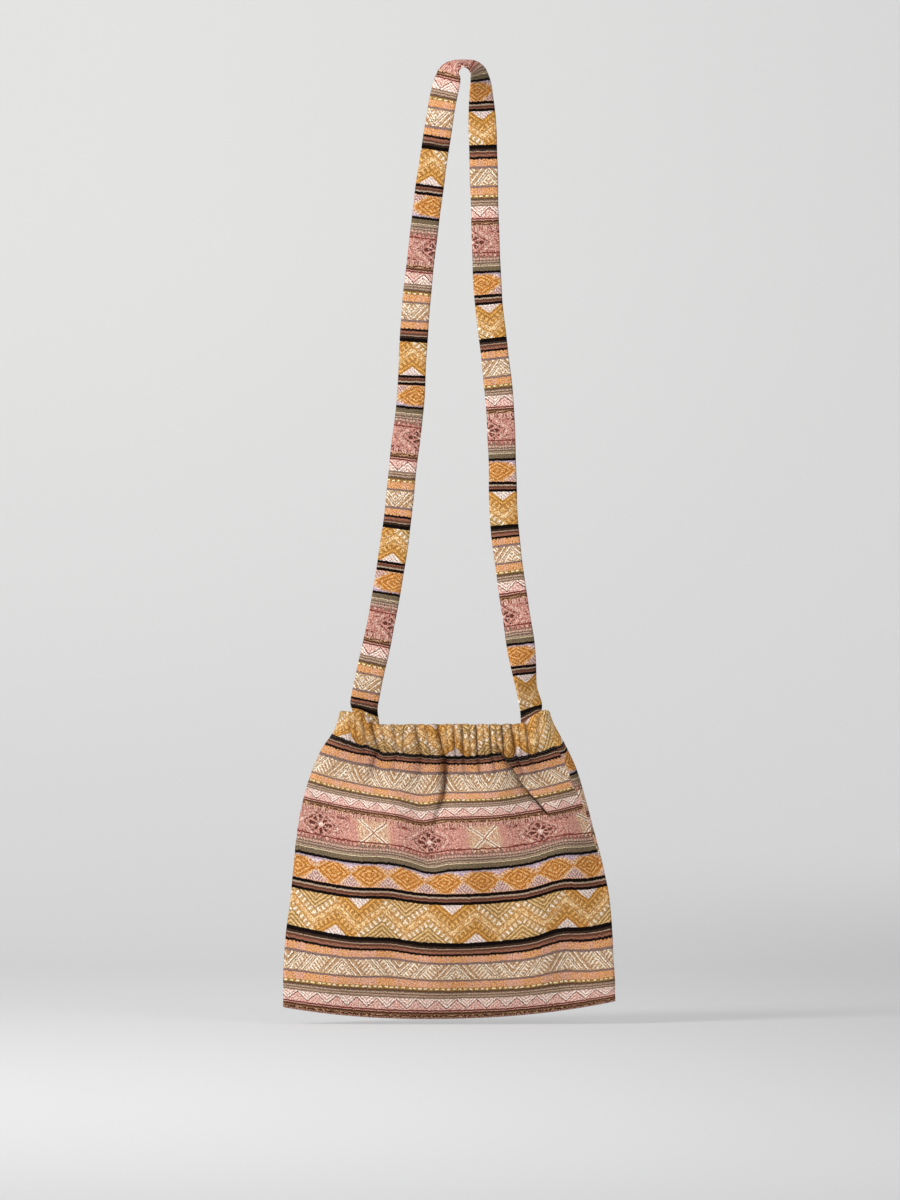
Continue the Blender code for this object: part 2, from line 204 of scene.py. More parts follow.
def end_radius(v):
    """Radius of the rounded ends of a row."""
    least, most = 0.0024, 0.012
    return least + (most - least) * fall(np.clip(v / FOLD_V, 0.0, 1.0), 0, 0.4)


def seam_turn(v):
    """How far the right side seam has come round to the front, in metres."""
    return float(np.interp(v, (-30, 45, 60, 75, 95, 120, 150), (12, 12, 7.5, 6, 3, 1, 0))) * 0.001


def ring(v):
    """Points, outward directions and place across of a row: left seam, front, right seam, back."""
    left_y, _, right_y, _ = smooth_keys(ROWS, v)[0]
    left = smooth_keys(OUTLINE, left_y)[0][0]
    right = smooth_keys(OUTLINE, right_y)[0][1]
    middle = (left + right) / 2
    spare = CLOTH / 2 + WALL_CLEAR * fall(v, 0, 24.0)
    width = (right - left) / 2 * GRID - spare
    radius = end_radius(v)
    reach = width - radius
    bulge = half_depth(v) - radius
    s = np.linspace(-1.0, 1.0, 241)
    turns = 23
    facing = np.arctan2(-np.ones_like(s), 2 * bulge * s / reach) + 2 * math.pi
    start = np.linspace(math.pi, facing[0], turns + 1)[:-1]
    end = np.linspace(facing[-1], 2 * math.pi, turns + 1)[1:]
    angle = np.concatenate([start, facing, end])
    still, none = np.full(turns, reach), np.zeros(turns)
    x = np.concatenate([-still, reach * s, still]) + radius * np.cos(angle)
    y = np.concatenate([none, -bulge * (1 - s**2), none]) + radius * np.sin(angle)
    x = np.concatenate([x, x[-2::-1]])
    y = np.concatenate([y, -y[-2::-1]])
    angle = np.concatenate([angle, 4 * math.pi - angle[-2::-1]])
    length = np.concatenate([[0.0], np.cumsum(np.hypot(np.diff(x), np.diff(y)))])
    wanted = np.arange(COLUMNS) / COLUMNS * length[-1] - seam_turn(v)
    wanted %= length[-1]
    x = np.interp(wanted, length, x)
    y = np.interp(wanted, length, y)
    angle = np.interp(wanted, length, angle)
    out = np.stack([np.cos(angle), np.sin(angle), np.zeros(COLUMNS)], axis=1)
    across = np.clip(x / width, -1.0, 1.0)
    column = middle + x / GRID
    front = ease(-out[:, 1] * 2.0 - 0.2)
    row = row_line(v, across)
    if v < 0:
        ends = np.where(across < 0, ease((-across - 0.63) / 0.23), ease((across - 0.72) / 0.25))
        mouth = 711 - across * 0.5 + 13.3 * (1.0 - ends)
        stitches = row_line(0, across)
        row = stitches + (mouth - stitches) * -v / CASING_V
    row += front * row_waves(column, v)
    points = np.stack([grid_x(column), y, grid_z(row)], axis=1)
    return points, out, column, front


def row_line(v, across):
    """Grid row of V at places across, from -1 at the left side to 1 at the right side."""
    left_y, middle_y, right_y, square = smooth_keys(ROWS, v)[0]
    base = left_y + (right_y - left_y) * (1 + across) / 2
    return base + (middle_y - (left_y + right_y) / 2) * (1.0 - np.abs(across) ** square)


def pleat_line(v):
    """Grid column of the pleat's edge at V."""
    return 503.0 + 0.60 * np.clip(v, -8.0, 90.0)


def row_waves(column, v):
    """How much lower or higher a row runs at a column of the front, in grid steps."""
    v = float(v)
    dent_at = 421.0 + 9.0 * rise(v, 70, 60.0)
    dent = 4.6 * rise(v, 0, 60.0) * fall(v, 115, 35.0)
    lift_left = -3.2 * rise(v, 80, 40.0) * fall(v, 215, 40.0)
    lift_right = -5.0 * rise(v, 70, 45.0) * fall(v, 215, 45.0)
    waves = dent * bump(column, dent_at, 16.0)
    waves += lift_left * bump(column, 388.0, 26.0) + lift_right * bump(column, 560.0, 22.0)
    lobes = 2.4 * float(bump(v, 1.0, 9.0)) + 0.8 * float(bump(v, 14.0, 12.0))
    waves += lobes * (puffs(column, v, CREASES) - 0.8)
    pinch = bump(column, 384.0, 8.0) - 0.6 * bump(column, 369.0, 6.0)
    waves += 2.2 * float(bump(v, 6.0, 16.0)) * pinch
    edge = pleat_line(v)
    shown = rise(v, -12, 10.0) * fall(v, 66, 18.0)
    side = ease((column - edge + 0.8) / 1.6)
    right_of = side * (1.0 - 0.5 * ease((column - edge) / 60.0))
    left_of = (1.0 - side) * bump(column, edge, 22.0)
    step = 1.0 - 0.55 * rise(v, 10, 45.0)
    return waves + shown * step * (4.6 * right_of - 3.2 * left_of)


def back_creases():
    """Creases of the back, spaced unevenly: grid column at the top, at the stitches, depth, fade."""
    random = np.random.default_rng(7)
    made = []
    column = 352.0
    while column < 540.0:
        lean = random.uniform(-4.0, 4.0)
        made.append((column, column + lean, random.uniform(0.45, 1.0), random.uniform(12, 34)))
        column += random.uniform(8.0, 17.0)
    return made


BACK_CREASES = back_creases()


def puffs(column, v, creases):
    """Height between the gathers' creases: 0 in the deepest crease, 1 on a full puff."""
    share = (v + CASING_V) / CASING_V
    places = []
    for top, foot, depth, fade in creases:
        middle = top + (foot - top) * share if v < 0 else foot + (foot - 447.0) * v * 0.0045
        places.append((middle, depth * (1.0 - float(ease(v / (fade * 1.6))))))
    places.sort()
    places = [(places[0][0] - 14.0, 0.0)] + places + [(places[-1][0] + 14.0, 0.0)]
    middles, depths = np.array(places).T
    i = np.clip(np.searchsorted(middles, column) - 1, 0, len(middles) - 2)
    t = np.clip((column - middles[i]) / (middles[i + 1] - middles[i]), 0.0, 1.0)
    return 1.0 - depths[i] * (1.0 - t) ** 2.6 - depths[i + 1] * t**2.6


def both_puffs(column, v, front):
    return front * puffs(column, v, CREASES) + (1 - front) * puffs(column, v, BACK_CREASES)


def calm(column, out):
    """1 in the gathers, 0 round the bag's sides where the casing lies smooth."""
    place = np.abs(column - 446.0) / 112.0
    return 1.0 - ease((place - 0.80) / 0.16) * (0.75 + 0.25 * np.abs(out[:, 0]))


def centre_line(v):
    """Grid column of the crease below the mouth's middle."""
    return float(np.interp(v, (0, 20, 40, 70, 110, 150), (445, 445, 441, 433, 432, 446)))


def folds(column, v):
    """The crease below the mouth's middle, the pleat beside it and soft waves, in metres outwards."""
    line = centre_line(v)
    deep = 0.0050 * rise(v, -6, 12.0) * fall(v, 30, 90.0)
    past = column - line
    made = -deep * ease((past + 0.8) / 2.4) * np.exp(-np.clip(past, 0, None) / 15.0)
    made += 0.3 * deep * bump(past, -7.0, 8.0)
    edge = pleat_line(v)
    shown = rise(v, -14, 12.0) * fall(v, 66, 18.0)
    side = ease((column - edge + 0.9) / 1.8)
    over = side * (1.0 - ease((column - edge - 4.0) / 26.0))
    under = (1.0 - side) * bump(column, edge, 11.0)
    made += shown * (0.0044 * over - 0.0030 * under)
    low = rise(v, 0, 40.0) * fall(v, 235, 30.0)
    made += low * 0.0016 * np.sin(column / 15.0 + v / 61.0)
    made += low * 0.0009 * np.sin(column / 8.5 - v / 33.0 + 1.0)
    made -= 0.0016 * low * bump(column, 375.0 + 0.12 * v, 9.0) * fall(v, 80, 60.0)
    return made - 0.0022 * float(bump(v, 92.0, 46.0)) * bump(column, 432.0, 20.0)


def outer_steps(v, out, column, front):
    """Distance of the outer cloth from the row's ring, in metres outwards."""
    gathered = calm(column, out)
    height = both_puffs(column, v, front)
    if v <= 0:
        share = (v + CASING_V) / CASING_V
        swell = 1.0 - (share - 0.48) ** 2 - 0.75 * rise(share, 0.72, 0.28)
        return WALL_CLEAR + PUFF * gathered * swell * height
    rest = WALL_CLEAR * fall(v, 0, 24.0)
    puff = PUFF * 0.10 * fall(v, 0, 20.0)
    return rest + puff * gathered - 0.0028 * (1 - height) * gathered + front * folds(column, v)


def outer_row(v, gap=0.0):
    """Points of the outer cloth at V, or of cloth that lies a gap inside it."""
    points, out, column, front = ring(v)
    return points + out * (outer_steps(v, out, column, front) - gap)[:, None]


def casing_rows():
    """The turned-over top: up the inner wall, over the fold and down the outer wall to the stitches."""
    hem = -2 * CASING_V - HEM_V
    rows = [(hem - v, outer_row(v, CLOTH + LAID_ON), v) for v in (6.0, 0.0)]
    for v in (-4.0, -10.0, -16.0, -21.0, TOP_V):
        points, out, column, front = ring(v)
        inner = WALL_CLEAR + INNER_PUFF * calm(column, out) * both_puffs(column, v, front)
        rows.append((hem - v, points - out * inner[:, None], v))
    outer = outer_steps(TOP_V, out, column, front)
    peak, _, _, _ = ring(-CASING_V)
    lift = (peak - points)[:, 2] - 0.0020 * (1 - both_puffs(column, TOP_V, front))
    for turn in (-66, -42, -18, 6, 30, 52, 72):
        angle = math.radians(turn)
        step = (outer - inner) / 2 + (outer + inner) / 2 * math.sin(angle)
        place = points + out * step[:, None]
        place[:, 2] += lift * math.cos(angle)
        rows.append((-CASING_V - 6 + 11 * (turn + 90) / 180, place, TOP_V))
    return rows


def bag_rows():
    """The cloth's rows from the hem to the bottom fold: V of the cloth, points and V of the row's ring."""
    runs = (TOP_V, -2.4, 15), (1.5, 30, 16), (33, 96, 22), (100, 256, 34)
    casing, upper, middle, lower = (np.linspace(*run) for run in runs)
    places = np.concatenate([casing, [-1.2, 0.0], upper, middle, lower, [260, 263, 265.4]])
    return casing_rows() + [(v, outer_row(v), v) for v in places]


def painted_shade_and_highlight(v):
    """How deep in a crease each place of a row lies, where shade is painted into the cloth's colour; below
    0 on puffs, where a highlight is painted.
    """
    _, out, column, front = ring(v)
    height = both_puffs(column, v, front)
    # Painted shade in the gathers' creases.
    made = 1.25 * (1.0 - height) * calm(column, out)
    if v <= 0:
        # Painted highlight on the casing's puffs, stronger towards the right.
        made -= 0.55 * front * height**2 * ease((column - 330.0) / 190.0)
    # Painted shade in a broad band below the gathers.
    made += 0.17 * front * bump(v, 20.0, 15.0)
    line = centre_line(v)
    # Painted shade down the crease below the mouth's middle.
    made += 0.4 * front * bump(column, line + 2.4, 2.8) * rise(v, -6, 12.0) * fall(v, 20, 70.0)
    edge = pleat_line(v)
    shown = rise(v, -14, 12.0) * fall(v, 68, 18.0)
    # A dark painted shadow line along the pleat's edge.
    made += 2.4 * front * shown * bump(column, edge - 0.8, 1.5)
    return np.clip(made, -0.5, 2.4)


def cloth_faces(rows):
    """Faces and cloth coordinates of the rows, the front's V running down and the back's on and up."""
    faces, uvs = [], []
    half = COLUMNS // 2
    places = [cloth_places(row) for _, row, _ in rows]
    for i in range(len(rows) - 1):
        v0, v1 = rows[i][0], rows[i + 1][0]
        upper, lower = places[i], places[i + 1]
        for j in range(COLUMNS):
            k = (j + 1) % COLUMNS
            top, low = i * COLUMNS, (i + 1) * COLUMNS
            faces.append((top + j, low + j, low + k, top + k))
            a, b = (v0, v1) if j < half else (2 * FOLD_V - v0, 2 * FOLD_V - v1)
            uvs += [(upper[j], a), (lower[j], b), (lower[j + 1], b), (upper[j + 1], a)]
    return faces, uvs


def cloth_places(row):
    """U at each column of a row, by the length of the folded cloth from seam to seam and back."""
    half = COLUMNS // 2
    length = np.linalg.norm(np.roll(row, -1, axis=0) - row, axis=1)
    length = np.concatenate([[0.0], np.cumsum(length)])
    front = length[: half + 1] / length[half]
    back = (length[half:] - length[half]) / (length[-1] - length[half])
    share = np.concatenate([front, 1.0 - back[1:]])
    return (2 * share - 1) * CLOTH_HALF


def vertex_normals(points, faces):
    faces = np.array(faces)
    turn = np.cross(points[faces[:, 2]] - points[faces[:, 0]], points[faces[:, 3]] - points[faces[:, 1]])
    normals = np.zeros_like(points)
    for corner in range(4):
        np.add.at(normals, faces[:, corner], turn)
    return normals / np.maximum(np.linalg.norm(normals, axis=1), 1e-12)[:, None]


def make_bag(material):
    """The cloth as one skin of its thickness, from the hem inside the mouth to the bottom fold."""
    rows = bag_rows()
    points = np.concatenate([row for _, row, _ in rows])
    # Painted shade and highlight at each point, read by the cloth's material.
    painted_shade_values = np.concatenate([painted_shade_and_highlight(v) for _, _, v in rows] + [np.zeros(COLUMNS // 2 + 1)])
    faces, uvs = cloth_faces(rows)
    first = (len(rows) - 1) * COLUMNS
    edge, _, _, _ = ring(FOLD_V)
    half = COLUMNS // 2
    line = edge[: half + 1].copy()
    line[:, 1] = 0.0
    bottom = len(points)
    points = np.concatenate([points, line])
    v_last = rows[-1][0]
    for j in range(half):
        u0, u1 = (2 * j / half - 1) * CLOTH_HALF, (2 * (j + 1) / half - 1) * CLOTH_HALF
        faces.append((first + j, bottom + j, bottom + j + 1, first + j + 1))
        uvs += [(u0, v_last), (u0, FOLD_V), (u1, FOLD_V), (u1, v_last)]
        a, b = first + (COLUMNS - j) % COLUMNS, first + COLUMNS - j - 1
        faces.append((b, bottom + j + 1, bottom + j, a))
        back = 2 * FOLD_V - v_last
        uvs += [(u1, back), (u1, FOLD_V), (u0, FOLD_V), (u0, back)]
    normals = vertex_normals(points, faces)
    count = len(points)
    solid = np.concatenate([points + normals * CLOTH / 2, points - normals * CLOTH / 2])
    inner = [tuple(index + count for index in reversed(face)) for face in faces]
    inner_uvs = [uvs[4 * f + c] for f in range(len(faces)) for c in (3, 2, 1, 0)]
    rim = [(j, (j + 1) % COLUMNS, (j + 1) % COLUMNS + count, j + count) for j in range(COLUMNS)]
    rim_uvs = [(0.0, -80.0)] * (4 * len(rim))
    bag = new_object("bag_cloth", solid, faces + inner + rim, uvs + inner_uvs + rim_uvs, material)
    layer = bag.data.attributes.new("painted_shade", "FLOAT", "POINT")
    layer.data.foreach_set("value", np.concatenate([painted_shade_values, painted_shade_values]))
    return bag


# Woven pattern


def colour(text):
    """A linear colour from a written one such as D9A45B."""
    made = []
    for i in (0, 2, 4):
        c = int(text[i : i + 2], 16) / 255
        made.append(c / 12.92 if c <= 0.04045 else ((c + 0.055) / 1.055) ** 2.4)
    return (*made, 1.0)


class Field:
    """A number that a material's nodes work out at each place on the cloth."""

    def __init__(self, tree, socket):
        self.tree = tree
        self.socket = socket

    def do(self, operation, *others, clamp=False):
        node = self.tree.nodes.new("ShaderNodeMath")
        node.operation = operation
        node.use_clamp = clamp
        for socket, value in zip(node.inputs, (self, *others)):
            put(self.tree, value, socket)
        return Field(self.tree, node.outputs[0])

    def soft(self, low, high):
        """0 below low, 1 above high, smooth between."""
        node = self.tree.nodes.new("ShaderNodeMapRange")
        node.interpolation_type = "SMOOTHSTEP"
        put(self.tree, self, node.inputs[0])
        node.inputs[1].default_value = low
        node.inputs[2].default_value = high
        return Field(self.tree, node.outputs[0])


# Over and under give 1 where the field is larger or smaller than a value, and near gives 1 within a
# reach of it. Swing goes up from 0 to a half and back again, for ever. Size drops the sign.
for name, operation in (
    ("__add__", "ADD"), ("__sub__", "SUBTRACT"), ("__mul__", "MULTIPLY"), ("__truediv__", "DIVIDE"),
    ("__mod__", "FLOORED_MODULO"), ("over", "GREATER_THAN"), ("under", "LESS_THAN"),
    ("near", "COMPARE"), ("size", "ABSOLUTE"), ("swing", "PINGPONG"), ("floor", "FLOOR"),
):
    setattr(Field, name, functools.partialmethod(Field.do, operation))


def put(tree, value, socket):
    """Sets or links an input: a field, a number or a colour written as text."""
    if isinstance(value, Field):
        tree.links.new(value.socket, socket)
    elif isinstance(value, str):
        socket.default_value = colour(value)
    else:
        socket.default_value = value


def mixed(factor, first, second, mode="MIX"):
    """A colour field from two colours, the second where the factor is 1."""
    tree = factor.tree
    node = tree.nodes.new("ShaderNodeMix")
    node.data_type = "RGBA"
    node.blend_type = mode
    put(tree, factor, node.inputs[0])
    put(tree, first, node.inputs[6])
    put(tree, second, node.inputs[7])
    return Field(tree, node.outputs[2])


def noise(u, v, scale, detail=2.0, roughness=0.5):
    tree = u.tree
    place = tree.nodes.new("ShaderNodeCombineXYZ")
    put(tree, u, place.inputs[0])
    put(tree, v, place.inputs[1])
    node = tree.nodes.new("ShaderNodeTexNoise")
    node.noise_dimensions = "2D"
    tree.links.new(place.outputs[0], node.inputs["Vector"])
    for name, value in (("Scale", scale), ("Detail", detail), ("Roughness", roughness)):
        node.inputs[name].default_value = value
    return Field(tree, node.outputs[0])


def banded(at, stops, smooth="CONSTANT"):
    """A colour ramp over V's repeat, from rows of V and colour or grey."""
    tree = at.tree
    node = tree.nodes.new("ShaderNodeValToRGB")
    ramp = node.color_ramp
    ramp.interpolation = smooth
    while len(ramp.elements) < len(stops):
        ramp.elements.new(0.5)
    for element, (place, _) in zip(ramp.elements, stops):
        element.position = place / REPEAT
    for element, (_, tone) in zip(ramp.elements, stops):
        element.color = colour(tone) if isinstance(tone, str) else (tone, tone, tone, 1.0)
    put(tree, at / REPEAT, node.inputs[0])
    return Field(tree, node.outputs[0])


# The stripes of a repeat: V where each one begins, and its colour.
STRIPES = (
    (0, "0A0301"), (3.6, "33241B"), (5.4, "A8927E"), (6.5, "5E3A2C"), (8.8, "8A5C4A"), (10.7, "0D0503"),
    (13.3, "CB8E60"), (20, "7F6862"), (22.4, "C9A47C"), (38, "7D6660"), (40.4, "CE9165"),
    (47, "96703A"), (50.2, "5A4434"), (51.4, "A0846E"), (57.4, "6B5547"), (58.3, "DBA99D"),
    (69.6, "6E332D"), (70.7, "CFA08F"), (71.9, "4E2F21"), (76.4, "8A5F50"), (77.2, "C98F85"),
    (110, "86705E"), (116.9, "DCC8A4"), (117.9, "6B5C48"), (121.8, "090301"), (125, "D79C78"),
    (145.6, "0A0301"), (149, "A8927E"), (150.1, "5E3A2C"), (152.2, "8A5C4A"), (153.6, "0A0301"),
    (156.4, "D29F5F"),
)
# Height of the cloth over a repeat: the dark stripes stand up as cords.
RELIEF = (
    (0, 0.5), (2.5, 1.0), (5.2, 0.35), (8.2, 0.75), (11, 0.55), (12.2, 0.8), (14, 0.45), (20, 0.4),
    (21.2, 0.55), (23, 0.4), (38, 0.4), (39, 0.55), (41, 0.4), (47, 0.35), (48.8, 0.7), (51, 0.3),
    (70, 0.4), (74, 0.6), (78, 0.4), (117, 0.45), (119, 0.6), (123.4, 0.85), (125.5, 0.4), (145, 0.4),
    (147.2, 0.9), (150, 0.5), (152.5, 0.75), (155.2, 0.85), (157, 0.4), (189, 0.4),
)


def cut(field, period, width):
    """1 in stripes of a width that come once a period."""
    return (field % period).under(width)


def gold_zigzag(base, u, w):
    """Zigzags of fine lines with ladders of white bars, nested lines and pale triangles."""
    t = w - 156.5
    half = 23.6
    shifted = u + 139.6
    swing = shifted.swing(half)
    s = t - 25.5 + swing * (17.5 / half)
    e = s.size()
    below = s.over(0.0)
    upper = ((shifted / (2 * half)) + 0.5).floor() * 2.0
    lower = (shifted / (2 * half)).floor() * 2.0 + 1.0
    triangle = upper + (lower - upper) * below
    plain = (triangle % 5.0).near(1.5, 0.6)
    along = swing - s * 0.55
    grain = noise(u, w, 0.28, 3.0, 0.6)
    light = mixed(grain.soft(0.38, 0.62), "C99355", "E7C18C")
    tone = mixed(cut(e + 1.3, 4.1, 1.2), light, "A97C4A")
    dots = cut(along, 4.4, 1.7) * e.near(1.6, 0.8) * grain.over(0.5)
    tone = mixed(dots, tone, "F8DFB2")
    bars = cut(along, 3.9, 1.7)
    white = mixed(grain.soft(0.34, 0.5), "DDB88C", "F8E6D2")
    bar_tone = mixed(bars, "BB945F", white)
    gold_tone = mixed(bars, "A9783E", "DFAB68")
    tone = mixed(e.near(7.9, 2.8), tone, mixed(plain, bar_tone, gold_tone))
    nest = cut(e - 10.6, 4.0, 1.7)
    deep = mixed(nest, "CC9F62", "957344")
    deep = mixed(cut(e - 12.4, 4.0, 1.0), deep, "E9C996")
    rich = mixed(nest, "CF984F", "A47036")
    pale = mixed(cut(u - w, 3.9, 1.6), "D3B6AC", "F6ECE4")
    pale = mixed(e.over(17.0), rich, pale)
    tone = mixed(e.over(10.7), tone, mixed(plain, deep, pale))
    return mixed(w.over(156.4), base, tone)


def diamonds(base, u, w):
    """Hatched orange diamonds that nearly touch, with lilac triangles between them."""
    t = w - 125.0
    c = (u + 3.6).swing(19.5)
    b = (t - 10.0).size()
    d = c / 18.5 + b / 11.5
    grain = noise(u, w, 0.3, 3.0, 0.6)
    deep = mixed(grain.soft(0.4, 0.6), "AE682A", "C98640")
    ground = mixed(grain.soft(0.4, 0.6), "BC8054", "CE9C74")
    tone = mixed(cut(c * 0.8 + t, 4.2, 1.4), ground, "E8C6A2")
    lines = cut(d * 12.0 + (grain - 0.5) * 3.0, 4.0, 1.3)
    hatched = mixed(lines * (grain.soft(0.3, 0.6) * 0.5 + 0.4), deep, "E6B67C")
    ragged = d + (grain - 0.5) * 0.9
    tone = mixed(ragged.under(1.10), tone, hatched)
    tone = mixed(cut(d * 12.0 + 1.8, 4.0, 0.8) * ragged.under(1.0), tone, "A66A2C")
    other = c * -1.0 + 19.5
    low = other / 10.5 + (t * -1.0 + 20.5) / 10.0
    hatch = mixed(cut(c * 1.2 - w, 4.0, 1.7), "A9807C", "DCC0B2")
    tone = mixed(low.under(1.0), tone, hatch)
    high = other / 12.0 + t / 5.0
    tone = mixed(high.under(1.0), tone, mixed(grain.over(0.5), "B99BAA", "DEC9CE"))
    tone = mixed(t.under(1.5) * grain.over(0.42), tone, "A595A0")
    return mixed(w.near(135.3, 10.3), base, tone)


def star_row(base, u, w):
    """Eight-point stars, beige patches with crosses, and small red marks on speckled pink."""
    t = w - 77.0
    c = (u + 13.0).swing(61.2)
    b = (t - 17.0).size()
    grain = noise(u, w, 0.34, 4.0, 0.7)
    cloud = noise(u + 90.0, w, 0.09, 2.0, 0.5)
    tone = mixed(grain.soft(0.36, 0.64), "B57A70", "D09B8C")
    tone = mixed(cloud.soft(0.4, 0.62) * 0.5, tone, "C68C7E")
    red = "74382F"
    marks = c.near(27.0, 8.0) * b.near(10.4, 1.5) * grain.over(0.5)
    tone = mixed(marks, tone, red)
    other = c * -1.0 + 61.2
    ragged = other + (grain - 0.5) * 14.0
    beige = mixed(grain.soft(0.38, 0.62), "BF8F74", "DDBB98")
    tone = mixed(ragged.under(18.0) * b.under(14.5) * 0.9, tone, beige)
    cross = other * 0.78 - b
    lines = cross.near(1.4, 0.75).do("MAXIMUM", cross.near(-2.2, 0.7))
    tone = mixed(cross.near(-0.4, 0.7) * other.under(16.5), tone, "A6765A")
    tone = mixed(lines * other.under(16.5) * b.under(13.0), tone, "FBEFDC")
    strokes = cut(other + b * 0.8, 5.6, 1.2) * other.under(15.0) * b.under(13.0) * (cross.over(5.0))
    tone = mixed(strokes, tone, "F0DCC0")
    d = c / 15.0 + b / 11.5
    theta = (b * 1.3).do("ARCTAN2", c)
    petals = (theta * 8.0).do("COSINE").over(-0.3)
    star = d.near(0.62, 0.3) * petals
    tone = mixed(d.near(1.2, 0.12) * grain.over(0.49), tone, "6E3A31")
    tone = mixed(d.near(1.5, 0.1) * grain.over(0.51) * 0.7, tone, "E9CBBB")
    tone = mixed(d.near(1.85, 0.1) * grain.over(0.55), tone, "8B5148")
    tone = mixed(d.under(0.24), tone, "E9CDBE")
    tone = mixed(star * grain.over(0.36), tone, "5A2F27")
    specks = noise(u, w, 0.5, 1.0, 0.5)
    share = c.under(34.0) * 0.4 + 0.3
    tone = mixed(specks.over(0.67) * share, tone, "EACBB9")
    tone = mixed(specks.under(0.33) * share, tone, "74403A")
    ticks = u.swing(2.1).under(0.9) * t.under(grain * 10.0 - 0.5)
    tone = mixed(ticks, tone, mixed(cut(u, 8.4, 4.2), "6E382F", "DDB5A6"))
    wave = t + noise(u, 0.0, 0.12) * 2.4
    tone = mixed(wave.near(28.6, 0.7), tone, red)
    spikes = (u + noise(u, 0.0, 0.2) * 6.0).swing(2.3) * 1.6 + t
    tone = mixed(spikes.near(32.6, 0.7) * grain.over(0.36), tone, "8F564E")
    tone = mixed(spikes.over(33.3), tone, "7E6A5A")
    return mixed(w.near(93.5, 16.5), base, tone)


def pink_zigzag(base, u, w):
    """Hatched triangles in two pinks, point to point."""
    t = w - 58.5
    half = 9.9
    shifted = u + 3.0
    s = t - 10.2 + shifted.swing(half) * (9.2 / half)
    grain = noise(u, w, 0.5, 3.0, 0.6)
    up = mixed(grain.soft(0.42, 0.58), "D7A397", "F0D0C3")
    up = mixed(cut(s + 0.4, 3.9, 1.1) * 0.6, up, "B87468")
    down = mixed(cut(s * -1.0 + 0.8, 3.6, 1.3), "F6E6D8", "C98F82")
    tone = mixed(s.under(0.0), up, down)
    tone = mixed(s.near(0.0, 0.6), tone, "7F463E")
    return mixed(w.near(64.0, 5.5), base, tone)


def lattice(base, u, w):
    """Fine slanting cream lines whose direction changes from cell to cell, in mirrored groups."""
    t = w - 22.5
    m = (u - 63.0).swing(56.5) * -1.0 + 56.5
    q = m - t * 0.85
    cell = (q / 11.3).floor() % 4.0
    r = q % 11.3
    grain = noise(u, w, 0.3, 3.0, 0.6)
    tone = mixed(grain.soft(0.38, 0.62), "A98260", "C8A27C")
    one_way = cut(r, 5.6, 1.7).do("MAXIMUM", cut(r + 2.4, 5.6, 0.9) * cell.near(2.0, 1.1))
    other_way = cut(m + t * 0.95, 4.6, 1.8)
    crossing = (cell.near(1.0, 0.2)).do("MAXIMUM", cell.near(3.0, 0.2) * r.under(5.6))
    lines = one_way + (other_way - one_way) * crossing
    cream = mixed(grain.soft(0.34, 0.48), "DCC09A", "F8EBD8")
    shadow = cut(q + 1.2, 5.65, 1.0) * (crossing * -1.0 + 1.0)
    tone = mixed(shadow * 0.8, tone, "8A6A4C")
    tone = mixed(lines, tone, cream)
    return mixed(w.near(30.2, 7.8), base, tone)


def thin_rows(base, u, w):
    """Dashes, fringes and streaks in the narrow stripes."""
    streak = noise(u * 0.18, w * 1.3, 0.6, 3.0, 0.6)
    grain = noise(u, w, 0.45, 3.0, 0.65)
    patches = noise(u, 0.0, 0.055, 1.0)
    warm = mixed(patches.soft(0.42, 0.58), "D08F5A", "D39A86")
    warm = mixed(grain.soft(0.4, 0.62) * 0.45, warm, "E9BC94")
    orange = w.near(16.7, 3.3).do("MAXIMUM", w.near(43.7, 3.2))
    tone = mixed(orange * 0.85, base, warm)
    dash_cut = (u + noise(u, 0.0, 0.09) * 6.0) % 5.6
    dash = dash_cut.under(3.2) * w.near(48.7, 0.75)
    tone = mixed(dash, tone, mixed(patches.over(0.52), "F6E2B0", "F8EBD0"))
    ticks = u.swing(1.7).under(0.8) * w.near(111.4, 1.9)
    tone = mixed(ticks, tone, "C79A8C")
    brown = w.near(54.6, 2.9).do("MAXIMUM", w.near(113.6, 3.1))
    tone = mixed(cut(w, 2.6, 0.9) * brown, tone, "665245")
    tone = mixed(cut(w + 1.3, 2.6, 0.7) * brown * 0.6, tone, "BFA894")
    tone = mixed(w.near(74.3, 0.5), tone, "8A6248")
    ragged = u.swing(1.9).under(0.6) * w.near(13.2, 0.9)
    tone = mixed(ragged, tone, "1C1210")
    fringe = w.near(76.6, 1.9) * noise(u * 0.6, w, 0.7, 1.0).over(0.58)
    tone = mixed(fringe, tone, "CDA27C")
    return mixed((streak - 0.5) * 0.9, tone, "FFF4E8", "SOFT_LIGHT")


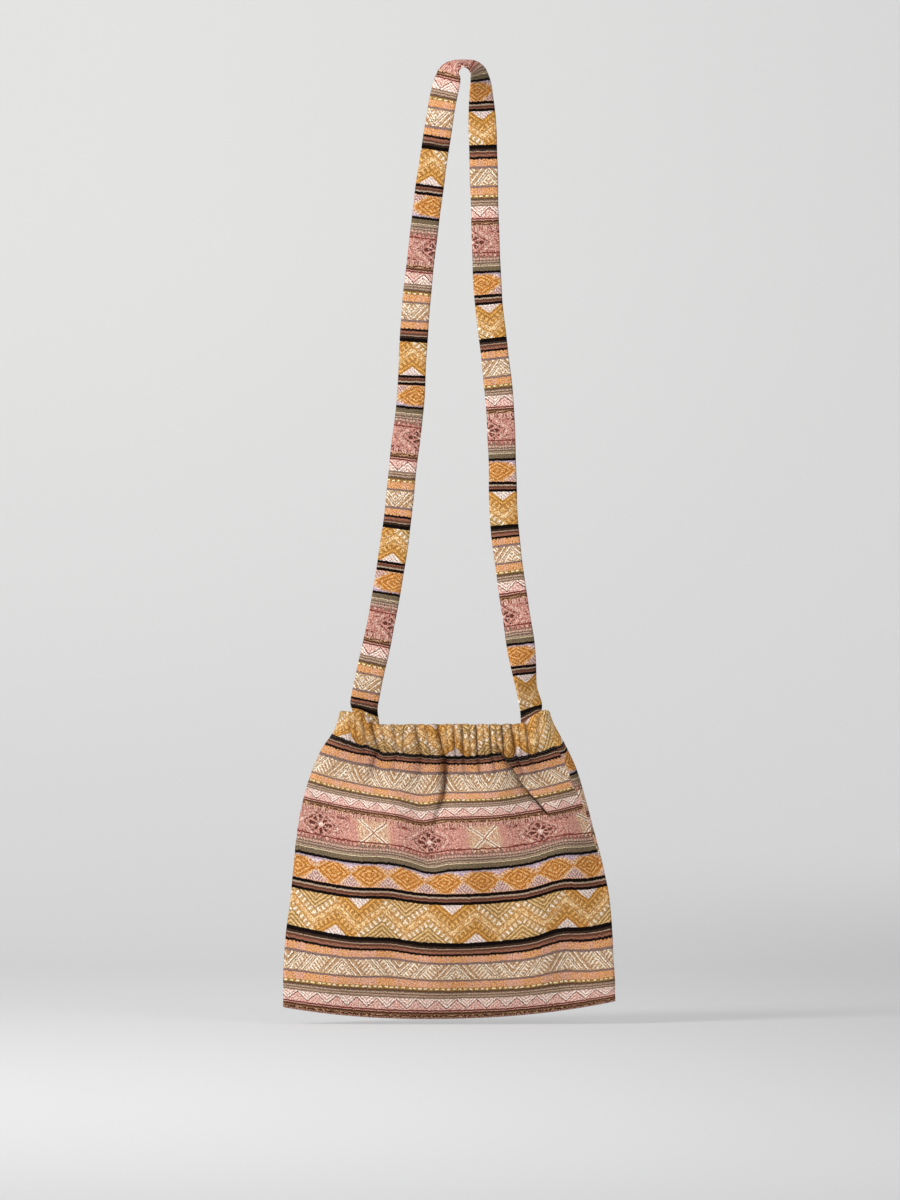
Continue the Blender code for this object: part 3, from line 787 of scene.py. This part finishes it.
def woven_cloth():
    """A group of nodes that turns the cloth's U and V into its colour and its relief."""
    tree = bpy.data.node_groups.new("woven rows", "ShaderNodeTree")
    for name, way, kind in (
        ("U", "INPUT", "Float"), ("V", "INPUT", "Float"),
        ("Colour", "OUTPUT", "Color"), ("Relief", "OUTPUT", "Float"),
    ):
        tree.interface.new_socket(name, in_out=way, socket_type="NodeSocket" + kind)
    given = tree.nodes.new("NodeGroupInput")
    made = tree.nodes.new("NodeGroupOutput")
    u = Field(tree, given.outputs[0])
    v = Field(tree, given.outputs[1])
    uneven = noise(u * 0.7, v * 0.2, 0.25)
    threads = noise(u, v * 0.12, 0.85, 1.0)
    w = (v + (uneven - 0.5) * 0.9 + (threads - 0.5) * 1.5) % REPEAT
    pulled = u + (noise(u, v, 0.4) - 0.5) * 2.2
    tone = banded(w, STRIPES)
    for row in (lattice, pink_zigzag, star_row, diamonds, gold_zigzag, thin_rows):
        tone = row(tone, pulled, w)
    speckle = noise(u, v, 0.9, 2.0, 0.7)
    tone = mixed(speckle.soft(0.25, 0.55) * -1.0 + 1.0, tone, "5A4538", "MULTIPLY")
    tone = mixed(speckle.soft(0.5, 0.75) * 0.5, tone, "FFF6EA", "SOFT_LIGHT")
    cords = banded(w, RELIEF, "LINEAR")
    weave = (v * 4.2).do("SINE") * 0.10 + (u * 3.1).do("SINE") * 0.06
    grey = tree.nodes.new("ShaderNodeRGBToBW")
    tree.links.new(tone.socket, grey.inputs[0])
    raised = Field(tree, grey.outputs[0]) * w.near(70.0, 55.0).do("MAXIMUM", w.over(124.0))
    relief = cords * 0.8 + weave + speckle * 0.25 + raised * 0.7
    tree.links.new(tone.socket, made.inputs[0])
    tree.links.new(relief.socket, made.inputs[1])
    return tree


def new_material(name, roughness, sheen):
    """A material, its nodes and its shader."""
    material = bpy.data.materials.new(name)
    material.use_nodes = True
    tree = material.node_tree
    shader = tree.nodes["Principled BSDF"]
    shader.inputs["Roughness"].default_value = roughness
    shader.inputs["Sheen Weight"].default_value = sheen
    return material, tree, shader


def cloth_uv(tree):
    """U and V from the mesh's cloth coordinates."""
    uv = tree.nodes.new("ShaderNodeUVMap")
    uv.uv_map = "cloth"
    parts = tree.nodes.new("ShaderNodeSeparateXYZ")
    tree.links.new(uv.outputs[0], parts.inputs[0])
    return Field(tree, parts.outputs[0]), Field(tree, parts.outputs[1])


def dress(shader, tone, height, strength, distance):
    """Gives a shader its colour and its relief."""
    tree = tone.tree
    lift = tree.nodes.new("ShaderNodeBump")
    lift.inputs["Strength"].default_value = strength
    lift.inputs["Distance"].default_value = distance
    tree.links.new(height.socket, lift.inputs["Height"])
    tree.links.new(tone.socket, shader.inputs["Base Color"])
    tree.links.new(lift.outputs[0], shader.inputs["Normal"])


def cloth_material(name, group, relief):
    """The woven cloth, with shade painted darker into its creases and a highlight painted onto its puffs.
    relief is in metres.
    """
    material, tree, shader = new_material(name, 0.85, 0.015)
    shader.inputs["Specular IOR Level"].default_value = 0.05
    shader.inputs["Sheen Roughness"].default_value = 0.6
    rows = tree.nodes.new("ShaderNodeGroup")
    rows.node_tree = group
    for field, socket in zip(cloth_uv(tree), rows.inputs):
        put(tree, field, socket)
    painted_shade = tree.nodes.new("ShaderNodeAttribute")
    painted_shade.attribute_name = "painted_shade"
    depth = Field(tree, painted_shade.outputs["Fac"])
    # Painted shade: the colour multiplied darker with crease depth, near black along the deepest painted
    # shadow lines.
    deep = depth.do("MULTIPLY", 0.7, clamp=True) * 0.96
    shaded = mixed(deep, Field(tree, rows.outputs[0]), "6A4328", "MULTIPLY")
    shaded = mixed(depth.soft(1.2, 2.1), shaded, "1C100B")
    # Painted highlight: a pale soft light over the puffs.
    pale = depth.do("MULTIPLY", -2.0, clamp=True) * 0.9
    shaded = mixed(pale, shaded, "FFF1E0", "SOFT_LIGHT")
    dress(shader, shaded, Field(tree, rows.outputs[1]), 0.8, relief)
    return material


# Strap


# Each leg: grid row, grid column of its middle, turn about its length in degrees.
LEFT_LEG = (
    (98, 443.2, 12), (130, 438.0, 4), (180, 430.5, 0), (240, 423, 0), (300, 416.5, 0), (350, 413, 0),
    (400, 410.5, 0), (460, 403.5, 0), (520, 397.3, 0), (580, 388.5, 0), (640, 377.5, 0),
    (680, 368.5, 0), (703, 364.0, -3),
)
RIGHT_LEG = (
    (98, 481.3, 26), (130, 482.6, 3), (180, 484, 0), (240, 485.7, 0), (300, 488.5, 0), (350, 494.2, 0),
    (400, 499.5, 0), (460, 502.3, 0), (520, 504, 0), (580, 511, 0), (640, 520, 0), (664, 523.3, 20),
    (690, 527, 40), (705, 530.8, 34),
)
# Over the peg: angle from the left, turn about the strap's length in degrees. PEG is the peg's width.
LOOP = ((0, 25), (30, 40), (55, 60), (90, 73), (125, 62), (150, 54), (180, 46))
PEG = 0.0076
# The strap's sewn ends: share of the way round the mouth, and V of their rows on the inner wall.
LEFT_END_PLACE = 0.9285
RIGHT_END_PLACE = 0.4590
END_ROWS = (6.5, -2.6, -13.6, -22.7)
STRAP_INSIDE = WALL_CLEAR + CLOTH / 2 + LAID_ON + STRAP / 2
STRAP_ACROSS = np.linspace(-1.0, 1.0, 11)
STRAP_FIRST_V = 173.0
# How far the cloth's rows are pulled along the strap, in grid steps, at shares of its length.
STRAP_PULL = (
    (0.0, 0.03, 0.06, 0.28, 0.36, 0.42, 0.455, 0.5, 0.53, 0.56, 0.59, 0.62, 0.70, 0.84, 0.95, 1.0),
    (5.5, 4.5, 2.4, -1.0, -1.5, 1.5, 4.5, 4.0, 0.8, 0.6, 3.1, 4.5, 4.5, 2.0, -3.2, -2.0),
)


def distances(points):
    """How far along a line each of its points lies."""
    return np.concatenate([[0.0], np.cumsum(np.linalg.norm(np.diff(points, axis=0), axis=1))])


def smooth_run(keys, step):
    """A smooth curve through rows of x, y, z and turn, with points about a step apart."""
    keys = np.array(keys, float)
    place = distances(keys[:, :3])
    at = np.linspace(0.0, place[-1], int(place[-1] / step) + 1)
    return through(place, keys, np.gradient(keys, place, axis=0), at)


def wall_row(place, v, inside, across, half_width):
    """Points across the strap, or along a thread, where it lies on the casing's inner wall."""
    points, out, _, _ = ring(v)
    length = np.linalg.norm(np.roll(points, -1, axis=0) - points, axis=1).sum()
    at = (place + seam_turn(v) / length - across * half_width / length) * COLUMNS
    low = np.floor(at).astype(int)
    part = (at - low)[:, None]
    point = points[low % COLUMNS] * (1 - part) + points[(low + 1) % COLUMNS] * part
    facing = out[low % COLUMNS] * (1 - part) + out[(low + 1) % COLUMNS] * part
    facing /= np.linalg.norm(facing, axis=1)[:, None]
    return point - facing * inside


def end_rows(place):
    return [wall_row(place, v, STRAP_INSIDE, STRAP_ACROSS, STRAP_WIDTH / 2) for v in END_ROWS]


def leg_keys(leg, end, depth):
    """Keys of a leg, which leans towards a share of its sewn end's depth on its way down from the loop."""
    keys = []
    loop_row, drop = 78.0, 640.0
    for row, column, turn in leg:
        share = (row - loop_row) / drop
        keys.append((grid_x(column), end[1] * depth * share, grid_z(row), turn))
    return keys


def loop_keys():
    """Keys of the loop over the peg, from left to right."""
    top = STRAP_WIDTH / 2 * math.cos(math.radians(73)) + STRAP / 2
    low = -0.39 * STRAP_WIDTH
    reach = PEG / 2 + 0.45 * STRAP_WIDTH
    keys = []
    for angle, turn in LOOP:
        swing = math.radians(angle)
        keys.append((-reach * math.cos(swing), 0.0, low + (top - low) * math.sin(swing), turn))
    return keys


def joining(wall, wall_below, free, free_above):
    """Rows that carry the strap smoothly from the casing's wall into its free leg."""
    climb = (free - wall)[:, 2].mean()
    first = (wall - wall_below) / (wall - wall_below)[:, 2].mean() * climb
    second = (free_above - free) / (free_above - free)[:, 2].mean() * climb
    return [cubic(wall, free, first, second, t) for t in np.linspace(0.0, 1.0, 10)[1:-1]]


def strap_rows():
    """Rows of points across the strap's middle, from its left end over the peg to its right end."""
    left, right = end_rows(LEFT_END_PLACE), end_rows(RIGHT_END_PLACE)
    left_leg = leg_keys(LEFT_LEG, left[-1][5], 0.9)
    right_leg = leg_keys(RIGHT_LEG, right[-1][5], 0.4)
    spacing = 0.0026
    run = smooth_run(left_leg[::-1] + loop_keys() + right_leg, spacing)
    middle, turn = run[:, :3], np.radians(run[:, 3])
    along = np.gradient(middle, axis=0)
    flat = along * np.array([1.0, 0.0, 1.0])
    flat /= np.linalg.norm(flat, axis=1)[:, None]
    inward = np.stack([flat[:, 2], np.zeros(len(flat)), -flat[:, 0]], axis=1)
    across = inward * np.cos(turn)[:, None] - np.array([0.0, 1.0, 0.0]) * np.sin(turn)[:, None]
    place = np.arange(len(run)) * spacing
    wide = 1.0 + 0.012 * np.sin(place * 61.0) + 0.010 * np.sin(place * 143.0 + 1.0)
    wave = 0.0005 * np.sin(place * 47.0) + 0.0004 * np.sin(place * 103.0 + 2.0)
    middle = middle + np.outer(wave, [0.0, 1.0, 0.0])
    free = [
        middle[i] + np.outer(STRAP_ACROSS, across[i]) * STRAP_WIDTH / 2 * wide[i]
        for i in range(len(run))
    ]
    before = joining(left[-1], left[-2], free[0], free[1])
    after = joining(right[-1], right[-2], free[-1], free[-2])
    return left + before + free + after[::-1] + right[::-1]


def resampled(rows, step):
    """The same surface with rows evenly spaced along its middle."""
    rows = np.array(rows)
    middle = rows[:, rows.shape[1] // 2]
    place = distances(middle)
    at = np.linspace(0.0, place[-1], int(place[-1] / step) + 1)
    flat = rows.reshape(len(rows), -1)
    made = np.stack([np.interp(at, place, flat[:, c]) for c in range(flat.shape[1])], axis=1)
    return made.reshape(len(at), -1, 3), at


def make_strap(material):
    """A strip folded flat: two faces joined by round edges, closed at its sewn ends."""
    rows, at = resampled(strap_rows(), 0.0013)
    across = np.gradient(rows, axis=1)
    along = np.gradient(rows, axis=0)
    face = np.cross(across, along)
    face /= np.linalg.norm(face, axis=2)[:, :, None]
    edge = np.abs(STRAP_ACROSS) ** 6
    thick = STRAP / 2 * (1.0 - 0.45 * edge)[None, :, None]
    sides = across[:, [0, -1]] / np.linalg.norm(across[:, [0, -1]], axis=2)[:, :, None]
    left = rows[:, 0] - sides[:, 0] * 0.0009
    right = rows[:, -1] + sides[:, 1] * 0.0009
    front_face, back_face = rows + face * thick, (rows - face * thick)[:, ::-1]
    loops = np.concatenate([front_face, right[:, None], back_face, left[:, None]], axis=1)
    count = loops.shape[1]
    half = STRAP_WIDTH / 2 / GRID
    front = -STRAP_ACROSS * half
    u = np.concatenate([front, [-half - 1.0], -2 * half - 2.0 - front[::-1], [half + 1.0]]) + 2.0
    middle = rows[:, 5]
    on_left = (middle[:, 0] < grid_x(464)) & (middle[:, 2] > grid_z(690))
    gold = at[on_left][np.argmin(np.abs(middle[on_left][:, 2] - grid_z(357)))]
    v = STRAP_FIRST_V + (at - gold) / GRID - np.interp(at / at[-1], *STRAP_PULL)
    faces, uvs = [], []
    for i in range(len(rows) - 1):
        for j in range(count):
            k = (j + 1) % count
            faces.append((i * count + j, i * count + k, (i + 1) * count + k, (i + 1) * count + j))
            end = u[k] if k else u[j] - 2.0
            uvs += [(u[j], v[i]), (end, v[i]), (end, v[i + 1]), (u[j], v[i + 1])]
    last = (len(rows) - 1) * count
    faces += [tuple(reversed(range(count))), tuple(range(last, last + count))]
    uvs += [(place, v[0]) for place in reversed(u)] + [(place, v[-1]) for place in u]
    return new_object("shoulder_strap_cloth", loops.reshape(-1, 3), faces, uvs, material)


# Stitches


def stitch_tree():
    """Nodes that lay short stitches along a curve."""
    tree = bpy.data.node_groups.new("stitches", "GeometryNodeTree")
    face = tree.interface
    face.new_socket("Geometry", in_out="INPUT", socket_type="NodeSocketGeometry")
    for name, value in (("Stitch spacing", 0.0026), ("Stitch length", 0.0019), ("Thread radius", 0.0003)):
        face.new_socket(name, in_out="INPUT", socket_type="NodeSocketFloat").default_value = value
    face.new_socket("Material", in_out="INPUT", socket_type="NodeSocketMaterial")
    face.new_socket("Geometry", in_out="OUTPUT", socket_type="NodeSocketGeometry")
    add = tree.nodes.new
    given, made = add("NodeGroupInput"), add("NodeGroupOutput")
    curve, even = add("GeometryNodeMeshToCurve"), add("GeometryNodeResampleCurve")
    even.mode = "LENGTH"
    tangent, turn = add("GeometryNodeInputTangent"), add("FunctionNodeAlignRotationToVector")
    turn.axis = "X"
    ball, shape = add("GeometryNodeMeshUVSphere"), add("GeometryNodeTransform")
    size = add("ShaderNodeCombineXYZ")
    for name, value in (("Segments", 6), ("Rings", 5), ("Radius", 1.0)):
        ball.inputs[name].default_value = value
    half = add("ShaderNodeMath")
    half.operation = "MULTIPLY"
    half.inputs[1].default_value = 0.5
    laid, real = add("GeometryNodeInstanceOnPoints"), add("GeometryNodeRealizeInstances")
    finish = add("GeometryNodeSetMaterial")
    for source, output, target, socket in (
        (given, "Geometry", curve, 0), (curve, 0, even, "Curve"), (given, "Stitch spacing", even, "Length"),
        (tangent, 0, turn, "Vector"), (given, "Stitch length", half, 0), (half, 0, size, 0),
        (given, "Thread radius", size, 1), (given, "Thread radius", size, 2), (ball, 0, shape, "Geometry"),
        (size, 0, shape, "Scale"), (even, 0, laid, "Points"), (shape, 0, laid, "Instance"),
        (turn, 0, laid, "Rotation"), (laid, 0, real, 0), (real, 0, finish, "Geometry"),
        (given, "Material", finish, "Material"), (finish, 0, made, 0),
    ):
        tree.links.new(source.outputs[output], target.inputs[socket])
    return tree


def make_stitches(name, tree, path, spacing, material):
    """A closed row of stitches along a path, as a mesh."""
    mesh = bpy.data.meshes.new(name)
    count = len(path)
    mesh.from_pydata([tuple(map(float, p)) for p in path], [(i, (i + 1) % count) for i in range(count)], [])
    source = linked(name + "_path", mesh)
    modifier = source.modifiers.new("stitches", "NODES")
    modifier.node_group = tree
    sockets = {item.name: item.identifier for item in tree.interface.items_tree if item.in_out == "INPUT"}
    modifier[sockets["Stitch spacing"]] = spacing
    modifier[sockets["Stitch length"]] = spacing * 0.72
    modifier[sockets["Material"]] = material
    graph = bpy.context.evaluated_depsgraph_get()
    result = bpy.data.meshes.new_from_object(source.evaluated_get(graph))
    source.modifiers.remove(modifier)
    bpy.data.objects.remove(source, do_unlink=True)
    result.name = name
    result.polygons.foreach_set("use_smooth", [True] * len(result.polygons))
    return linked(name, result)


def thread_material(name, tone, light):
    """Twisted thread: stripes that wind round it, on its Object coordinates."""
    material, tree, shader = new_material(name, 0.7, 0.2)
    place = tree.nodes.new("ShaderNodeTexCoord")
    wave = tree.nodes.new("ShaderNodeTexWave")
    wave.bands_direction = "DIAGONAL"
    wave.inputs["Scale"].default_value = 900.0
    wave.inputs["Distortion"].default_value = 2.0
    tree.links.new(place.outputs["Object"], wave.inputs["Vector"])
    twist = Field(tree, wave.outputs["Fac"])
    dress(shader, mixed(twist, tone, light), twist, 0.5, 0.0001)
    return material


def stitch_path():
    """Points just outside the cloth along the casing's row of stitches."""
    return outer_row(1.5, -CLOTH / 2 - 0.0002)


def make_elastic(material):
    """The flat ribbed band that runs round the mouth inside the casing."""
    half_thick = 0.00045
    places = [(v, half_thick - 0.0001 * (i % 2)) for i, v in enumerate(np.linspace(-24, -7, 13))]
    profile = places + [(v, -step) for v, step in reversed(places)]
    points, faces, uvs = [], [], []
    for v, step in profile:
        middle, out, _, _ = ring(v)
        points.append((middle + out * step)[::2])
    count, around = len(profile), COLUMNS // 2
    for i in range(count):
        below = (i + 1) % count
        for j in range(around):
            k = (j + 1) % around
            faces.append((i * around + j, below * around + j, below * around + k, i * around + k))
            uvs += [(2 * j, i), (2 * j, i + 1), (2 * j + 2, i + 1), (2 * j + 2, i)]
    return new_object("elastic_in_casing", np.concatenate(points), faces, uvs, material)


def elastic_material():
    """Knitted ribs that run along the band, with short loops across them."""
    material, tree, shader = new_material("knitted elastic", 0.8, 0.1)
    u, v = cloth_uv(tree)
    loops = (u * 3.0).do("SINE") * 0.5 + (v * 3.14).do("SINE") * 0.3 + 0.5
    dress(shader, mixed(loops, "BDB9AF", "E3E0D9"), loops, 0.6, 0.0003)
    return material


def tack_path(place):
    """Points of the thread that holds a sewn end of the strap, on the strap's inner face."""
    inside = STRAP_INSIDE + STRAP / 2 + 0.0002
    across = np.array([-0.5, 0.0, 0.5])
    upper = wall_row(place, END_ROWS[2], inside, across, STRAP_WIDTH / 2)
    lower = wall_row(place, END_ROWS[1], inside, across, STRAP_WIDTH / 2)
    return list(upper) + list(lower[::-1])


# Setting


def make_camera():
    camera = bpy.data.cameras.new("camera")
    camera.sensor_fit = "VERTICAL"
    camera.sensor_height = 36.0
    distance = 9.0
    camera.lens = camera.sensor_height * distance / (VIEW_ROWS * GRID)
    camera.clip_end = 50.0
    obj = linked("camera", camera)
    obj.location = (grid_x(VIEW_COLUMNS / 2), -distance - 0.008, grid_z(VIEW_ROWS / 2))
    obj.rotation_euler = (math.pi / 2, 0.0, 0.0)
    bpy.context.scene.camera = obj


def area_light(name, place, size, power):
    """A soft round light that shines at the bag."""
    light = bpy.data.lights.new(name, "AREA")
    light.shape = "DISK"
    light.size = size
    light.energy = power
    obj = linked(name, light)
    obj.location = place
    direction = np.array((-0.01, 0.0, -0.5)) - np.array(place)
    yaw = math.atan2(direction[0], direction[1])
    pitch = math.atan2(direction[2], math.hypot(direction[0], direction[1]))
    obj.rotation_euler = (math.pi / 2 + pitch, 0.0, -yaw)


def make_world():
    """Even white light from all round, with a plain grey where the world itself is seen."""
    world = bpy.data.worlds.new("studio")
    world.use_nodes = True
    tree = world.node_tree
    light = tree.nodes["Background"]
    light.inputs[0].default_value = (1.0, 1.0, 1.0, 1.0)
    light.inputs[1].default_value = 0.36
    shown = tree.nodes.new("ShaderNodeBackground")
    shown.inputs[0].default_value = colour("DEDEDE")
    either = blended(tree, seen_rays(tree).socket, light.outputs[0], shown.outputs[0])
    tree.links.new(either, tree.nodes["World Output"].inputs[0])
    bpy.context.scene.world = world


def blended(tree, share, first, second):
    """A shader between two others, the second where the share is 1."""
    node = tree.nodes.new("ShaderNodeMixShader")
    for socket, given in zip(node.inputs, (share, first, second)):
        tree.links.new(given, socket)
    return node.outputs[0]


def seen_rays(tree):
    """1 for what is seen directly, in gloss or through glass, 0 for light."""
    path = tree.nodes.new("ShaderNodeLightPath")
    kinds = ("Camera", "Glossy", "Transmission")
    camera, gloss, through = (Field(tree, path.outputs[f"Is {kind} Ray"]) for kind in kinds)
    return camera.do("MAXIMUM", gloss).do("MAXIMUM", through)


def stage_material():
    """A matt floor and backdrop that also glow a little to the camera, and show from their front only. The
    glow is painted darker low down and towards the right, and the floor's own colour darker to the right,
    as painted shade.
    """
    material, tree, shader = new_material("pale stage", 0.9, 0.0)
    shader.inputs["Specular IOR Level"].default_value = 0.0
    glow = tree.nodes.new("ShaderNodeEmission")
    place = tree.nodes.new("ShaderNodeTexCoord")
    parts = tree.nodes.new("ShaderNodeSeparateXYZ")
    tree.links.new(place.outputs["Object"], parts.inputs[0])
    z = Field(tree, parts.outputs[2])
    # Painted shade: the glow darker low down.
    tone = mixed(z.soft(-1.0, 0.0), "D2D2D4", "E8E8E7")
    x = Field(tree, parts.outputs[0])
    # Painted shade: the floor's colour darker towards the right.
    low = z.soft(-0.82, -0.70) * -1.0 + 1.0
    base = mixed(x.soft(-0.25, 0.6) * low, "DCDCDB", "A9A9AB")
    tree.links.new(base.socket, shader.inputs["Base Color"])
    # Painted shade: the glow darker towards the right.
    right = x.soft(-0.4, 0.7) * 0.75
    tone = mixed(right, tone, "D6D6D7")
    tree.links.new(tone.socket, glow.inputs[0])
    share = seen_rays(tree) * 0.6
    lit = blended(tree, share.socket, shader.outputs[0], glow.outputs[0])
    side = tree.nodes.new("ShaderNodeNewGeometry")
    clear = tree.nodes.new("ShaderNodeBsdfTransparent")
    one_sided = blended(tree, side.outputs["Backfacing"], lit, clear.outputs[0])
    tree.links.new(one_sided, tree.nodes["Material Output"].inputs[0])
    return material


def make_stage():
    """A floor that turns up behind the bag into a backdrop."""
    floor = cad_box[0][2] - 0.004
    cove_y, radius, half_width = 1.4, 0.9, 6.0
    profile = [(-7.0, floor)]
    for angle in np.radians(np.linspace(0, 90, 13)):
        profile.append((cove_y + radius * math.sin(angle), floor + radius * (1 - math.cos(angle))))
    profile.append((cove_y + radius, 5.0))
    points = [(side * half_width, y, z) for y, z in profile for side in (-1, 1)]
    faces = [(i, i + 1, i + 3, i + 2) for i in range(0, len(points) - 2, 2)]
    stage = new_object("stage", points, faces, None, stage_material())


make_camera()
make_world()
make_stage()
area_light("key", (-2.2, -1.9, 1.1), 1.2, 108.0)
area_light("fill", (1.6, -2.6, 0.2), 1.6, 30.0)
area_light("top", (0.0, -0.3, 2.2), 1.2, 12.0)

rows_group = woven_cloth()
bag = make_bag(cloth_material("bag cloth", rows_group, 0.0006))
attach(bag, "root")
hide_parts("bag_body")

strap = make_strap(cloth_material("strap cloth", rows_group, 0.0005))
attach(strap, "root")
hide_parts("shoulder_strap")

elastic = make_elastic(elastic_material())
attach(elastic, "root")
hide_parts("elastic_band")

stitches = stitch_tree()
dark = thread_material("dark thread", "1A1412", "3A302A")
ochre = thread_material("ochre thread", "8F6A3E", "C79D62")
for name, node, path, spacing, slot, material in (
    ("casing_stitches", "casing_stitching", stitch_path(), 0.0026, "dark_thread", dark),
    ("left_tack_stitches", "left_strap_tack", tack_path(LEFT_END_PLACE), 0.0020, "tack_thread", ochre),
    ("right_tack_stitches", "right_strap_tack", tack_path(RIGHT_END_PLACE), 0.0020, "tack_thread", ochre),
):
    piece = make_stitches(name, stitches, path, spacing, material)
    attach(piece, "root")
    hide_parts(node)

bpy.context.scene.view_settings.view_transform = "Standard"
